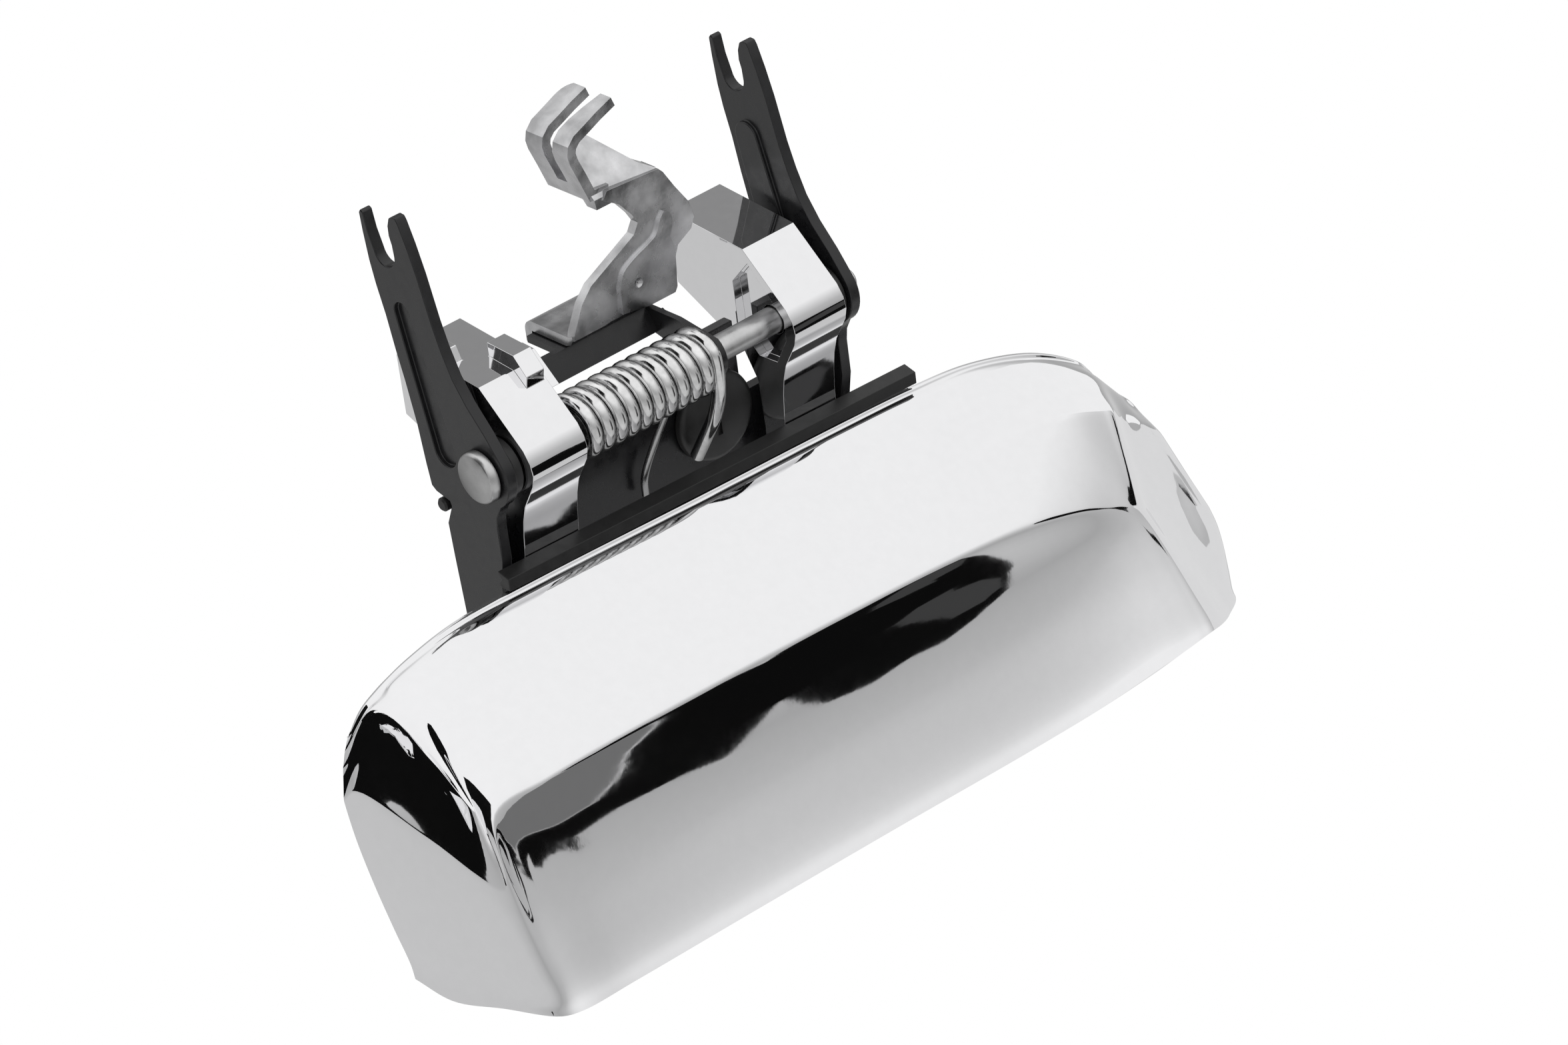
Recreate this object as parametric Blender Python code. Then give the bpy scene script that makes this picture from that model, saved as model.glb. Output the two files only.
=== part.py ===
"""Exterior door handle: chrome grip on a black steel frame, with cable lever and springs.

X runs along the pivot pin, Z is up the door skin and -Y points out towards the user.
The origin is the middle of the pivot pin. Tables are in millimetres.
"""
import math

import bpy
import bmesh
from mathutils import Vector

for old in list(bpy.data.objects):
    bpy.data.objects.remove(old, do_unlink=True)

# Driving sizes in metres
gap = 0.0003                 # air left between neighbouring pieces
pin_d = 0.0057               # pivot pin shank
pin_fit = 0.00035            # radial play of everything that turns on the pin
pin_head_d = 0.0113
pin_head_t = 0.0022
sheet_t = 0.0025             # frame steel
lug_inner_x = 0.028          # inner face of each grip lug
lug_width = 0.0142
washer_t = 0.0022            # spacer between each lug and arm
washer_band = 0.0032         # width of that ring from bore to edge
boss_w = 0.0024              # boss beside the left lug
skin_t = 0.0025              # wall of the cast grip
ridge_r = 0.0035             # fillet along the grip's ridge
wire_d = 0.0031              # main spring wire
coil_air = 0.0014            # air between the coil and the pin
coil_turns = 10
ear_t = 0.0014               # ears of the lever bracket
ear_right_x = 0.0114         # near side of the right ear
thin_wire_d = 0.0016
lever_t = 0.0022             # zinc lever sheet
lever_y = 0.015              # front face of the lever plate
flange_z = 0.0083            # top of the lever's flange
flange_back = 0.0306         # rear of the rolled flange
flange_left = -0.0098
flange_drop = 0.0052         # height of its rolled rear edge
strip_h = 0.0036
web_y = 0.009                # front face of the frame web
web_top_z = -0.0086          # top edge of the web between the lugs
web_step_z = -0.0015         # top edge of the web beside the right ear
web_step_x = 0.0164          # where that higher part starts
web_side_z = -0.0185         # top edge of the web where the lugs swing
frame_foot_z = -0.044
disc_d = 0.0198              # rubber bumper
disc_t = 0.0024
fork_slot_w = 0.0061
arm_round = 0.0074           # outline radius of each arm round the pin
groove_t = 0.0011            # depth of the pressed grooves in the arms
ring_band = 0.0018           # width of the retaining ring from pin to edge
ring_t = 0.0010

lug_outer_x = lug_inner_x + lug_width
pin_r = pin_d / 2
bore_r = pin_r + pin_fit
arm_inner_x = lug_outer_x + gap + washer_t + gap    # half the distance between the two arms
coil_d = pin_d + 2 * (coil_air + wire_d)
coil_left_x = -lug_inner_x + gap + ear_t + gap
coil_right_x = ear_right_x - gap


# Shared helpers
def material(name, rgb, metallic, roughness):
    mat = bpy.data.materials.new(name)
    mat.use_nodes = True
    bsdf = mat.node_tree.nodes["Principled BSDF"]
    bsdf.inputs["Base Color"].default_value = (*rgb, 1.0)
    bsdf.inputs["Metallic"].default_value = metallic
    bsdf.inputs["Roughness"].default_value = roughness
    return mat


def add_object(name, bm, mat, smooth=False):
    bmesh.ops.recalc_face_normals(bm, faces=bm.faces[:])
    mesh = bpy.data.meshes.new(name)
    bm.to_mesh(mesh)
    bm.free()
    if smooth:
        mesh.shade_smooth()
        mesh.set_sharp_from_angle(angle=math.radians(35))
    obj = bpy.data.objects.new(name, mesh)
    bpy.context.scene.collection.objects.link(obj)
    if mat is not None:
        mesh.materials.append(mat)
    return obj


def mm(points):
    return [(a * 0.001, b * 0.001) for a, b in points]


def slab(name, outline, start, end, mat=None, axis="x"):
    """A flat plate: the outline runs in the two other axes and is given depth along one."""
    bm = bmesh.new()
    rings = []
    for depth in (start, end):
        if axis == "x":
            ring = [bm.verts.new((depth, a, b)) for a, b in outline]
        elif axis == "y":
            ring = [bm.verts.new((a, depth, b)) for a, b in outline]
        else:
            ring = [bm.verts.new((a, b, depth)) for a, b in outline]
        rings.append(ring)
    low, high = rings
    bm.faces.new(low)
    bm.faces.new(list(reversed(high)))
    for i in range(len(outline)):
        j = (i + 1) % len(outline)
        bm.faces.new((low[i], low[j], high[j], high[i]))
    return add_object(name, bm, mat)


def turned(name, profile, mat=None, sides=32, centre=(0.0, 0.0, 0.0), axis="x"):
    """A turned piece: the profile lists (distance along the axis, radius)."""
    bm = bmesh.new()
    rings = []
    for along, radius in profile:
        ring = []
        for k in range(sides):
            a = 2 * math.pi * k / sides
            p, q = radius * math.cos(a), radius * math.sin(a)
            at = (along, p, q) if axis == "x" else (p, along, q)
            ring.append(bm.verts.new([at[n] + centre[n] for n in range(3)]))
        rings.append(ring)
    for one, two in zip(rings, rings[1:]):
        for k in range(sides):
            m = (k + 1) % sides
            bm.faces.new((one[k], one[m], two[m], two[k]))
    bm.faces.new(rings[0])
    bm.faces.new(list(reversed(rings[-1])))
    return add_object(name, bm, mat, smooth=True)


def washer(name, start, end, outer, inner, mat, sides=32):
    """A flat ring on the pin's axis."""
    bm = bmesh.new()
    rings = []
    for along, radius in ((start, inner), (start, outer), (end, outer), (end, inner)):
        rings.append([bm.verts.new((along, radius * math.cos(2 * math.pi * k / sides),
                                    radius * math.sin(2 * math.pi * k / sides)))
                      for k in range(sides)])
    for n in range(4):
        one, two = rings[n], rings[(n + 1) % 4]
        for k in range(sides):
            m = (k + 1) % sides
            bm.faces.new((one[k], one[m], two[m], two[k]))
    return add_object(name, bm, mat, smooth=True)


def wire(name, path, radius, mat, sides=8):
    """A round wire swept along a path, with flat ends."""
    pts = [Vector(p) for p in path]
    bm = bmesh.new()
    rings = []
    normal = None
    for i, p in enumerate(pts):
        if i == 0:
            tangent = (pts[1] - pts[0]).normalized()
        elif i == len(pts) - 1:
            tangent = (pts[-1] - pts[-2]).normalized()
        else:
            tangent = ((pts[i + 1] - p).normalized() + (p - pts[i - 1]).normalized()).normalized()
        if normal is None:
            normal = tangent.orthogonal().normalized()
        normal = (normal - tangent * normal.dot(tangent)).normalized()
        side = tangent.cross(normal)
        rings.append([bm.verts.new(p + radius * (math.cos(2 * math.pi * k / sides) * normal
                                                 + math.sin(2 * math.pi * k / sides) * side))
                      for k in range(sides)])
    for one, two in zip(rings, rings[1:]):
        for k in range(sides):
            m = (k + 1) % sides
            bm.faces.new((one[k], one[m], two[m], two[k]))
    bm.faces.new(rings[0])
    bm.faces.new(list(reversed(rings[-1])))
    return add_object(name, bm, mat, smooth=True)


def boolean(obj, tool, operation):
    tool.hide_render = True
    tool.display_type = "WIRE"
    mod = obj.modifiers.new(tool.name, "BOOLEAN")
    mod.operation = operation
    mod.solver = "EXACT"
    mod.object = tool


def bevel(obj, width, segments=2, angle=30):
    mod = obj.modifiers.new("edge_round", "BEVEL")
    mod.width = width
    mod.segments = segments
    mod.limit_method = "ANGLE"
    mod.angle_limit = math.radians(angle)


def arc(cy, cz, radius, start, end, steps):
    return [(cy + radius * math.cos(math.radians(start + (end - start) * k / steps)),
             cz + radius * math.sin(math.radians(start + (end - start) * k / steps)))
            for k in range(steps + 1)]


def spline(points, steps):
    """A smooth curve through the points, spaced by the distance between them."""
    pts = [Vector(p) for p in points]
    out = []
    for i in range(len(pts) - 1):
        p1, p2 = pts[i], pts[i + 1]
        p0 = pts[i - 1] if i else p1 + (p1 - p2)
        p3 = pts[i + 2] if i + 2 < len(pts) else p2 + (p2 - p1)
        d0, d1, d2 = [max((b - a).length, 1e-9) ** 0.5 for a, b in ((p0, p1), (p1, p2), (p2, p3))]
        m1 = (p2 - p1) + d1 * ((p1 - p0) / d0 - (p2 - p0) / (d0 + d1))
        m2 = (p2 - p1) + d1 * ((p3 - p2) / d2 - (p3 - p1) / (d1 + d2))
        for k in range(steps):
            t = k / steps
            out.append((2 * t ** 3 - 3 * t ** 2 + 1) * p1 + (t ** 3 - 2 * t ** 2 + t) * m1
                       + (-2 * t ** 3 + 3 * t ** 2) * p2 + (t ** 3 - t ** 2) * m2)
    out.append(pts[-1])
    return out


# Materials, one for each piece
chrome = material("chrome_grip", (0.82, 0.82, 0.83), 1.0, 0.06)
black_steel = material("black_painted_steel", (0.03, 0.03, 0.03), 0.0, 0.35)
zinc_lever = material("zinc_lever_sheet", (0.45, 0.46, 0.47), 1.0, 0.35)
bracket_black = material("black_lever_bracket", (0.025, 0.025, 0.025), 0.0, 0.3)
pin_steel = material("zinc_pin_steel", (0.55, 0.55, 0.54), 1.0, 0.38)
ring_steel = material("ring_steel", (0.4, 0.4, 0.4), 1.0, 0.4)
spring_steel = material("bright_spring_wire", (0.65, 0.65, 0.64), 1.0, 0.22)
thin_steel = material("thin_spring_wire", (0.4, 0.4, 0.4), 1.0, 0.3)
strip_rubber = material("black_strip_rubber", (0.035, 0.035, 0.035), 0.0, 0.55)
disc_rubber = material("dark_bumper_rubber", (0.05, 0.05, 0.05), 0.0, 0.5)
washer_nylon = material("black_nylon_washer", (0.04, 0.04, 0.04), 0.0, 0.5)
washer_nylon_right = material("black_nylon_washer_right", (0.04, 0.04, 0.04), 0.0, 0.5)
buffer_rubber = material("small_buffer_rubber", (0.04, 0.04, 0.04), 0.0, 0.6)

# The cast grip skin. Each station across the grip gives the back lip, the shoulder behind it, the
# crown of the top face, the sharp corner of the ridge and the bottom edge, then how far the
# lower face is hollow. Stations go round from the left end wall to the right one.
stations = [
    ((-94.6, -4, -40.5), (-95.6, -4.4, -44.2), (-96.4, -5, -49), (-97, -7, -56), (-93.8, -18, -90), -0.8),
    ((-88.6, -4, -32.3), (-90.2, -5.5, -33.6), (-92.8, -13.5, -39.8), (-93, -21, -50), (-90.5, -36, -87.3),
     -1.0),
    ((-80.5, -4, -28.5), (-82.8, -7.5, -28.5), (-86.8, -21, -36.2), (-87.2, -34.7, -45.6),
     (-86.6, -53, -84.4), -0.5),
    ((-76, -4, -27.1), (-77.8, -7.5, -27.3), (-82.4, -21.5, -34.5), (-83.9, -36.9, -44.9),
     (-83.5, -55.2, -84.1), 0.9),
    ((-64, -4, -24.8), (-64.8, -7, -25.4), (-68, -22, -33.4), (-70.5, -37.5, -43.8), (-70, -55.2, -84.5),
     2.0),
    ((-42, -4, -24.6), (-42, -7, -25.7), (-42, -22, -33.4), (-42, -38, -43.7), (-42, -55.2, -85), 2.9),
    ((0, -4, -26.1), (0, -7, -27.2), (0, -22, -34.6), (0, -38.2, -45), (0, -55.2, -85.9), 3.1),
    ((40, -4, -27.4), (40, -7, -28.5), (40, -22, -36), (40, -37.8, -47.5), (40, -55.2, -87), 2.8),
    ((60, -4, -28.5), (60.5, -7, -29.4), (61, -21.6, -37.4), (61, -37.2, -50.5), (61, -55.2, -87.4), 2.4),
    ((77, -4, -31), (79, -7, -31.6), (80.5, -21, -39.6), (79.5, -36.6, -55.3), (79.4, -55.2, -88), 1.7),
    ((89, -4, -34.6), (92.5, -8, -35.2), (97.5, -20.5, -42.3), (92.4, -36.1, -61.9), (92.6, -55, -88.3),
     0.7),
    ((93.4, -4, -36.2), (97.5, -8.6, -37), (102.6, -20.2, -43.4), (97.8, -36.4, -63), (96.4, -53.6, -89),
     -0.3),
    ((100.6, -4.2, -40), (104.8, -9.4, -41.2), (109.8, -20.8, -46.6), (109.8, -34, -63.4),
     (102.6, -48.6, -90.4), -1.6),
    ((105.8, -4.4, -44.6), (109.4, -8, -47.6), (112.6, -15, -53.4), (113.2, -23, -66.8),
     (107.8, -34.8, -91), -1.6),
    ((108.4, -4.5, -48), (110.4, -5, -51.4), (112.2, -6.4, -58), (112.8, -9.8, -69.4),
     (109.2, -17.4, -90.6), -1.0),
]


def section(lip, shoulder, crown, corner, bottom, hollow):
    """One section of the skin: bulged top face, filleted ridge, hollow lower face."""
    lip, shoulder, crown, corner, bottom = [Vector(p) for p in (lip, shoulder, crown, corner, bottom)]
    down, up = bottom - corner, crown - corner
    inwards = down.cross(up).cross(down).normalized()
    low = [corner + down * t + inwards * (hollow * math.sin(math.pi * t ** 0.75)) for t in (0.2, 0.45, 0.72,
                                                                                            1.0)]
    before, after = up.normalized(), (low[0] - corner).normalized()
    half_turn = (math.pi - before.angle(after)) / 2
    back_off = ridge_r * 1000 * math.tan(half_turn)
    middle = (before + after).normalized() * ridge_r * 1000 * (1 / math.cos(half_turn) - 1)
    return [lip, shoulder, crown, corner + before * back_off, corner + middle, corner
            + after * back_off] + low


def skin_grid(along_steps, down_steps):
    """Points of the outer skin, smooth in both directions."""
    lines = [spline(section(*station), down_steps) for station in stations]
    return [spline([line[r] for line in lines], along_steps) for r in range(len(lines[0]))]


def shell(name, grid, thickness, mat):
    """A closed wall: the outer grid, an inner grid set back along the normals and a rim."""
    n_rows, n_cols = len(grid), len(grid[0])
    outer = [[p * 0.001 for p in row] for row in grid]
    inner = []
    for i in range(n_rows):
        line = []
        for j in range(n_cols):
            m, n = min(max(i, 1), n_rows - 2), min(max(j, 1), n_cols - 2)
            down = outer[m + 1][n] - outer[m - 1][n]
            across = outer[m][n + 1] - outer[m][n - 1]
            line.append(outer[i][j] + across.cross(down).normalized() * thickness)
        inner.append(line)
    bm = bmesh.new()
    out_v = [[bm.verts.new(p) for p in row] for row in outer]
    in_v = [[bm.verts.new(p) for p in row] for row in inner]

    def quad(a, b, c, d):
        bm.faces.new((a, b, c))
        bm.faces.new((a, c, d))

    for i in range(n_rows - 1):
        for j in range(n_cols - 1):
            quad(out_v[i][j], out_v[i][j + 1], out_v[i + 1][j + 1], out_v[i + 1][j])
            quad(in_v[i][j], in_v[i + 1][j], in_v[i + 1][j + 1], in_v[i][j + 1])
    edge = ([(0, j) for j in range(n_cols)] + [(i, n_cols - 1) for i in range(1, n_rows)]
            + [(n_rows - 1, j) for j in range(n_cols - 2, -1, -1)]
            + [(i, 0) for i in range(n_rows - 2, 0, -1)])
    for k, (i, j) in enumerate(edge):
        a, b = edge[(k + 1) % len(edge)]
        quad(out_v[i][j], in_v[i][j], in_v[a][b], out_v[a][b])
    return add_object(name, bm, mat, smooth=True)


grip = shell("handle_grip", skin_grid(3, 2), skin_t, chrome)

# Lugs and necks of the casting, swept flat across their width
nose = [(-6.8, 5.2), (-8.4, 2.6), (-8.9, 0.0), (-8.2, -2.6), (-6.6, -5.2), (-4.6, -8.4), (-3.4, -12.0),
        (-2.6, -16.0),
        (-2.0, -21.0)]
foot_low = [(-16.0, -45.0), (0.0, -45.0), (6.0, -40.0)]
back = [(4.6, -26.0), (5.0, -15.0), (8.4, -8.6), (15.6, -5.0)]
for side, word, rise, rear in ((-1, "left", 2.0, 30.6), (1, "right", 0.0, 27.0)):
    lug_top = [(rear, 1.0), (rear, 14.6), (26.8, 17.8), (4.6, 15.6)]
    foot_top = [(-1.8, -28.2 + rise), (-8.0, -28.8 + rise), (-14.0, -30.9 + rise), (-20.5, -34.6 + rise),
                (-23.0, -37.0 + rise), (-22.0, -41.0)]
    lug = slab("lug_" + word, mm(lug_top + nose + foot_top + foot_low + back), side * lug_inner_x,
               side * lug_outer_x)
    bevel(lug, 0.0009)
    boolean(grip, lug, "UNION")

# Small tabs on top of the left lug
tab_outline = mm([(14.0, 15.0), (25.0, 15.0), (25.0, 20.6), (16.0, 19.6)])
lug_tab = slab("lug_tab", tab_outline, -lug_outer_x + 0.0016, -lug_outer_x + 0.0044)
boolean(grip, lug_tab, "UNION")
rib_outline = mm([(1.5, 11.0), (12.0, 14.0), (12.0, 19.4), (4.0, 18.9), (0.6, 15.2)])
lug_rib = slab("lug_rib", rib_outline, -lug_inner_x - 0.0052, -lug_inner_x - 0.0006)
boolean(grip, lug_rib, "UNION")

# Short boss that the left lug carries behind the spring
boss_outline = mm([(0.4, 10.4), (6.9, 16.3), (10.6, 16.5), (10.6, 10.5), (4.0, 9.6)])
lug_boss = slab("lug_boss", boss_outline, -lug_inner_x - 0.003, -lug_inner_x + boss_w)
boolean(grip, lug_boss, "UNION")

# Pocket in the inner side of each lug, and the pin bore
pocket_outline = mm([(-5.6, -2.4), (-6.0, 2.2), (3.6, 12.6), (9.0, 7.0), (9.0, -3.0), (3.4, -8.6),
                     (-2.0, -8.4)])
for side, word in ((-1, "left"), (1, "right")):
    pocket = slab("pocket_" + word, pocket_outline, side * (lug_inner_x - 0.002),
                  side * (lug_inner_x + 0.0075))
    boolean(grip, pocket, "DIFFERENCE")
bore = turned("grip_bore", [(-lug_outer_x - 0.003, bore_r), (lug_outer_x + 0.003, bore_r)], sides=32)
boolean(grip, bore, "DIFFERENCE")

# Rubber strip along the back lip
strip_left, strip_right = -49.5, 61.5
strip_low_left, strip_low_right = -24.0, -27.6


def strip_z(x_mm):
    t = (x_mm - strip_left) / (strip_right - strip_left)
    return (strip_low_left + (strip_low_right - strip_low_left) * t) * 0.001


strip_profile = [(-5.4, 0.0), (-2.2, 0.0), (-2.2, 1.0), (-3.0, 1.9), (-2.2, 2.8), (-2.2, 3.6), (-5.4, 2.7)]
bm = bmesh.new()
ends = []
for x_mm in (strip_left, strip_right):
    ends.append([bm.verts.new((x_mm * 0.001, y * 0.001, strip_z(x_mm) + z / 3.6 * strip_h))
                 for y, z in strip_profile])
bm.faces.new(ends[0])
bm.faces.new(list(reversed(ends[1])))
for i in range(len(strip_profile)):
    j = (i + 1) % len(strip_profile)
    bm.faces.new((ends[0][i], ends[0][j], ends[1][j], ends[1][i]))
strip = add_object("lip_strip", bm, strip_rubber)

# Frame: two forked arms and the web that joins them
slot_r = fork_slot_w / 2
fork_y, fork_z = 0.0214, 0.0428
arm_outline = mm([(27.7, 50.0), (27.2, 50.7), (26.4, 50.3), (25.7, 46.2)])
arm_outline += arc(fork_y, fork_z, slot_r, -10, -180, 8)
arm_outline += mm([(18.5, 45.4), (19.0, 47.4), (18.9, 49.6), (18.2, 51.4), (17.1, 52.1), (15.9, 52.0),
                   (15.3, 51.0),
                   (13.6, 46.3), (11.8, 40.3), (9.5, 30.6), (7.8, 25.2), (5.5, 19.6), (2.3, 14.7),
                   (-2.2, 9.5)])
arm_outline += [(arm_round * math.cos(math.radians(a)), arm_round * math.sin(math.radians(a)))
                for a in (142, 156, 170, 184, 198, 212, 226, 240)]
arm_outline += mm([(-2.1, -9.2), (-1.6, -12.0), (-1.6, -19.6), (-0.2, -26.0), (0.4, -42.2), (2.0, -44.0),
                   (12.0, -44.0),
                   (13.2, -42.6), (14.4, -24.1), (14.8, -16.2), (12.7, -11.7), (13.0, -10.7), (17.0, -9.7),
                   (18.3, -8.7), (19.0, -3.8), (19.9, 4.9), (21.6, 14.3), (23.0, 20.6), (24.4, 28.2),
                   (26.0, 34.6),
                   (26.9, 39.6), (27.5, 46.0)])
frame = slab("frame_bracket", arm_outline, -arm_inner_x - sheet_t, -arm_inner_x, black_steel)
right_arm = slab("arm_right", arm_outline, arm_inner_x, arm_inner_x + sheet_t)
boolean(frame, right_arm, "UNION")
web_outline = [(-arm_inner_x - 0.001, frame_foot_z), (arm_inner_x + 0.001, frame_foot_z),
               (arm_inner_x + 0.001, web_side_z),
               (lug_inner_x - 0.0015, web_side_z), (lug_inner_x - 0.0015, web_step_z),
               (web_step_x, web_step_z), (web_step_x, web_top_z),
               (-lug_inner_x + 0.0015, web_top_z), (-lug_inner_x + 0.0015, web_side_z),
               (-arm_inner_x - 0.001, web_side_z)]
web = slab("frame_web", web_outline, web_y, web_y + sheet_t, axis="y")
boolean(frame, web, "UNION")

# Long pressed grooves outside the arms, standing proud inside
groove_top, groove_low = Vector((18.8, 30.2)), Vector((11.8, 1.0))


def capsule(top, low, r_top, r_low, steps=6):
    """A rounded bar whose width changes along its length, as an outline in millimetres."""
    axis = (top - low).normalized()
    base = math.degrees(math.atan2(axis.y, axis.x))
    return (arc(top.x, top.y, r_top, base + 90, base - 90, steps)
            + arc(low.x, low.y, r_low, base - 90, base - 270, steps))


for side, word in ((-1, "left"), (1, "right")):
    ridge = slab("arm_ridge_" + word, mm(capsule(groove_top, groove_low, 3.3, 4.3)),
                 side * (arm_inner_x - 0.0009), side * (arm_inner_x + 0.0005))
    boolean(frame, ridge, "UNION")
    groove = slab("arm_groove_" + word, mm(capsule(groove_top, groove_low, 2.5, 3.5)),
                  side * (arm_inner_x + sheet_t - groove_t), side * (arm_inner_x + sheet_t + 0.002))
    boolean(frame, groove, "DIFFERENCE")
frame_bore = turned("frame_bore", [(-arm_inner_x - 0.006, bore_r), (arm_inner_x + 0.006, bore_r)], sides=32)
boolean(frame, frame_bore, "DIFFERENCE")

# Bumper stem hole in the web
disc_x, disc_z = 0.0175, -0.0192
stem_r = 0.0022
stem_hole = turned("stem_hole", [(web_y - 0.003, stem_r + gap), (web_y + sheet_t + 0.003, stem_r + gap)],
                   sides=24,
                   centre=(disc_x, 0, disc_z), axis="y")
boolean(frame, stem_hole, "DIFFERENCE")

# Rubber bumper: a disc with a stem through the web and a barb behind it
disc_back = web_y - gap
turned("bumper_disc",
       [(disc_back - disc_t, disc_d / 2 - 0.001), (disc_back - disc_t + 0.0007, disc_d / 2),
        (disc_back, disc_d / 2),
        (disc_back, stem_r), (web_y + sheet_t + gap, stem_r), (web_y + sheet_t + gap, stem_r + 0.0012),
        (web_y + sheet_t + 0.003, stem_r)],
       disc_rubber, sides=36, centre=(disc_x, 0, disc_z), axis="y")

# Small round buffer clipped in the notch of the left arm
notch_y, notch_z = 15.2, -12.1
turned("arm_buffer", [(-arm_inner_x - sheet_t - 0.0006, 0.0011), (-arm_inner_x - sheet_t - 0.0002, 0.0015),
                      (-arm_inner_x + 0.0002, 0.0015), (-arm_inner_x + 0.0006, 0.0011)],
       buffer_rubber, sides=20, centre=(0, notch_y * 0.001, notch_z * 0.001))

# Pivot pin with its flat head on the left, and the ring that keeps it in on the right
outer_face = arm_inner_x + sheet_t
turned("pivot_pin",
       [(-outer_face - gap - pin_head_t, pin_head_d / 2 - 0.0008),
        (-outer_face - gap - pin_head_t + 0.0006, pin_head_d / 2),
        (-outer_face - gap, pin_head_d / 2), (-outer_face - gap, pin_r), (outer_face + 0.0032, pin_r),
        (outer_face + 0.0038, pin_r - 0.0006)],
       pin_steel, sides=32)
washer("retaining_ring", outer_face + gap, outer_face + gap + ring_t, pin_r + gap + ring_band, pin_r + gap,
       ring_steel)

# Nylon washers between the lugs and the arms
washer("pivot_washer_left", -arm_inner_x + gap, -lug_outer_x - gap, bore_r + washer_band, bore_r,
       washer_nylon)
washer("pivot_washer_right", lug_outer_x + gap, arm_inner_x - gap, bore_r + washer_band, bore_r,
       washer_nylon_right)

# Black lever bracket: two ears on the pin, a sloping plate behind the coil and a tray on top
tray_top = flange_z - lever_t - gap
plate_y = lever_y + lever_t + gap
ear_outline = [(0.0052 * math.cos(math.radians(a)), 0.0052 * math.sin(math.radians(a)))
               for a in (125, 145, 165, 185, 205, 225, 245, 265, 280)]
ear_outline += [(0.0100, -0.0010), (plate_y - 0.0010, 0.0006), (plate_y + 0.0014, 0.0044),
                (plate_y, tray_top), (0.0080, 0.0058)]
bracket = slab("lever_bracket", ear_outline, ear_right_x, ear_right_x + ear_t, bracket_black)
left_ear = slab("ear_left", ear_outline, -lug_inner_x + gap, -lug_inner_x + gap + ear_t)
boolean(bracket, left_ear, "UNION")
plate_line = [(plate_y - 0.0031, 0.0010), (plate_y, tray_top), (plate_y + 0.0014, tray_top),
              (plate_y + 0.0014, 0.0040),
              (plate_y - 0.0012, 0.0006)]
bracket_plate = slab("bracket_plate", plate_line, -lug_inner_x + gap, ear_right_x + ear_t)
boolean(bracket, bracket_plate, "UNION")
tray_line = [(plate_y, tray_top), (flange_back - lever_t - gap, tray_top),
             (flange_back - lever_t - gap, tray_top - 0.0015),
             (plate_y + 0.0010, tray_top - 0.0015)]
bracket_tray = slab("bracket_tray", tray_line, flange_left - 0.0017, ear_right_x + ear_t)
boolean(bracket, bracket_tray, "UNION")
bracket_bore = turned("bracket_bore", [(-0.034, bore_r), (0.020, bore_r)], sides=32)
boolean(bracket, bracket_bore, "DIFFERENCE")

# Zinc cable lever: pressed plate, sloping shelf, two-prong hook and a rolled flange
lever_plate = mm([(-9.6, 7.8), (-1.0, 7.8), (2.6, 8.4), (9.8, 7.2), (17.4, 7.2), (18.2, 8.4), (18.7, 14.1),
                  (20.0, 17.0),
                  (24.0, 19.1), (25.1, 21.3), (24.3, 25.0), (21.1, 30.0), (18.7, 34.2), (17.6, 35.4),
                  (4.0, 36.2),
                  (2.6, 34.6), (6.6, 32.0), (9.4, 28.4), (10.6, 26.2), (9.2, 24.0), (-3.4, 17.8),
                  (-6.3, 14.8),
                  (-9.2, 9.4)])
lever = slab("cable_lever", lever_plate, lever_y, lever_y + lever_t, zinc_lever, axis="y")
shelf = slab("lever_shelf", [(lever_y, 0.0332), (lever_y + 0.0030, 0.0332), (lever_y + 0.0100, 0.0412),
                             (lever_y + 0.0100, 0.0444), (lever_y + 0.0004, 0.0352)], 0.0008, 0.0176)
shelf_cut = slab("shelf_cut", mm([(7.6, 50.0), (7.6, 44.8), (14.6, 37.4), (17.4, 35.6), (24.0, 35.6),
                                  (24.0, 50.0)]),
                 lever_y - 0.002, lever_y + 0.014, axis="y")
boolean(shelf, shelf_cut, "DIFFERENCE")
boolean(lever, shelf, "UNION")
hook_line = [(5.4, 34.6), (0.3, 34.9), (-3.3, 44.6), (-3.6, 47.6), (-1.2, 50.6), (2.0, 51.8), (5.0, 53.1),
             (9.2, 54.6)]


def ribbon(line, thickness):
    """Outline of a bent strip whose outer side follows the line."""
    pts = [Vector(p) for p in line]
    back_side = []
    for i, p in enumerate(pts):
        before = (p - pts[max(i - 1, 0)]) if i else pts[1] - p
        after = (pts[min(i + 1, len(pts) - 1)] - p) if i < len(pts) - 1 else before
        t = (before.normalized() + after.normalized()).normalized()
        stretch = 1 / max(0.5, math.cos(before.angle(after) / 2))
        back_side.append((p.x + t.y * thickness * stretch, p.y - t.x * thickness * stretch))
    return [tuple(p) for p in pts] + list(reversed(back_side))


hook_shape = mm(ribbon(hook_line, lever_t * 1000))
hook_front, hook_back = lever_y + 0.0012, lever_y + 0.0142
hook = slab("lever_hook", hook_shape, hook_front, hook_back, axis="y")
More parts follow.
